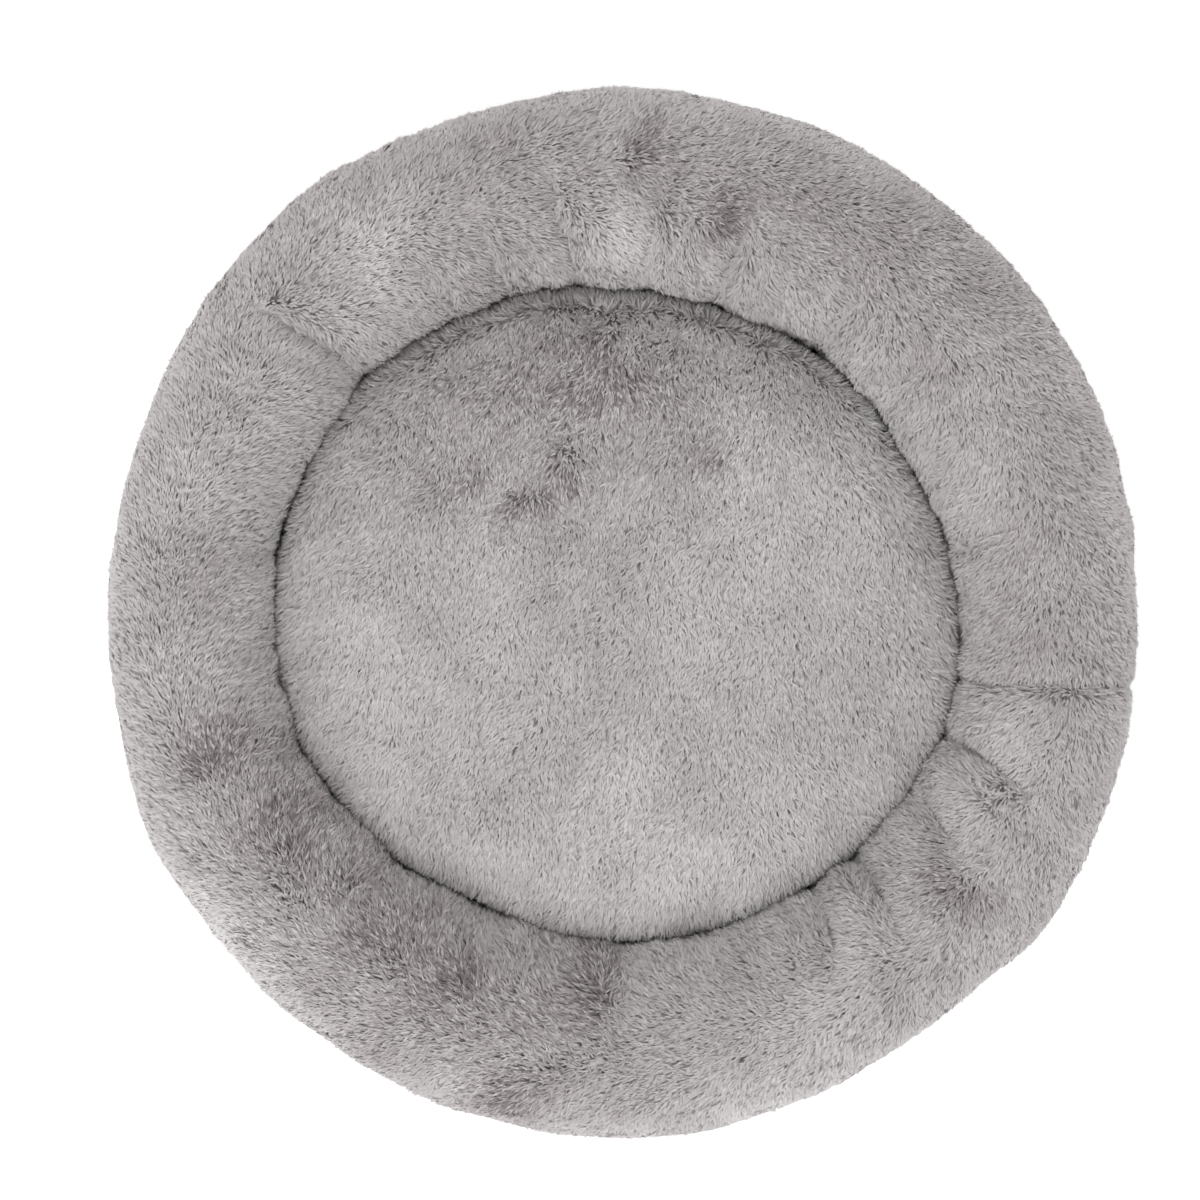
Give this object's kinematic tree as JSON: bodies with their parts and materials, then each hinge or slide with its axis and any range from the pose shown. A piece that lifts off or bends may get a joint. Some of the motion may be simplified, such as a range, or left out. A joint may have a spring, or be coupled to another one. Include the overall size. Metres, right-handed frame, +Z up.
{
  "type": "pet cushion bed",
  "caption": "Round plush pet bed: a stuffed ring on a flat non-slip base, with a loose boxed cushion in its well and a zip in the base's rear side band.",
  "frame": {"origin": "middle of the underside, on the floor", "axes": "+Z up, +Y towards the rear (the zip's side), +X to the right; the ring's sleeve is joined near +X"},
  "size_m": [0.6, 0.6, 0.115],
  "materials": {
    "plush": "short plush pile",
    "filling": "loose white fibre",
    "seam_cloth": "matte plush backing cloth",
    "lining": "plain woven lining",
    "base_cloth": "dense woven base cloth",
    "binding": "folded woven tape",
    "grip_rubber": "matte moulded dots",
    "zip_tape": "woven zip tape",
    "zip_coil": "nylon coil",
    "zip_metal": "satin grey die-cast zinc"
  },
  "bodies": {
    "bed": {"bolster_cover": "plush", "bolster_filling": "filling", "bolster_join_seam": "seam_cloth", "well_floor": "lining", "well_floor_seam": "seam_cloth", "base_wadding": "filling", "base_cloth": "base_cloth", "base_band": "base_cloth", "band_seam": "seam_cloth", "base_binding": "binding", "grip_dots": "grip_rubber", "zip_tape_upper": "zip_tape", "zip_tape_lower": "zip_tape", "zip_coil_upper": "zip_coil", "zip_coil_lower": "zip_coil", "zip_end_stops": "zip_metal"},
    "cushion": {"cushion_top": "plush", "cushion_gusset": "plush", "cushion_underside": "lining", "cushion_filling": "filling", "cushion_top_seam": "seam_cloth", "cushion_bottom_seam": "seam_cloth", "gusset_join_seam": "seam_cloth"},
    "slider": {"zip_slider": "zip_metal"},
    "pull": {"zip_pull": "zip_metal"}
  },
  "joints": [
    {"name": "cushion_lift", "type": "slide", "parent": "bed", "child": "cushion", "axis": [0, 0, 1], "range_m": [0, 0.16]},
    {"name": "zip_travel", "type": "hinge", "parent": "bed", "child": "slider", "pos_m": [0, 0, 0], "axis": [0, 0, 1], "range_deg": [0, 55]},
    {"name": "zip_pull_swing", "type": "hinge", "parent": "slider", "child": "pull", "pos_m": [0.13434, 0.25588, 0.013], "axis": [0, 0, -1], "range_deg": [0, 175]}
  ]
}
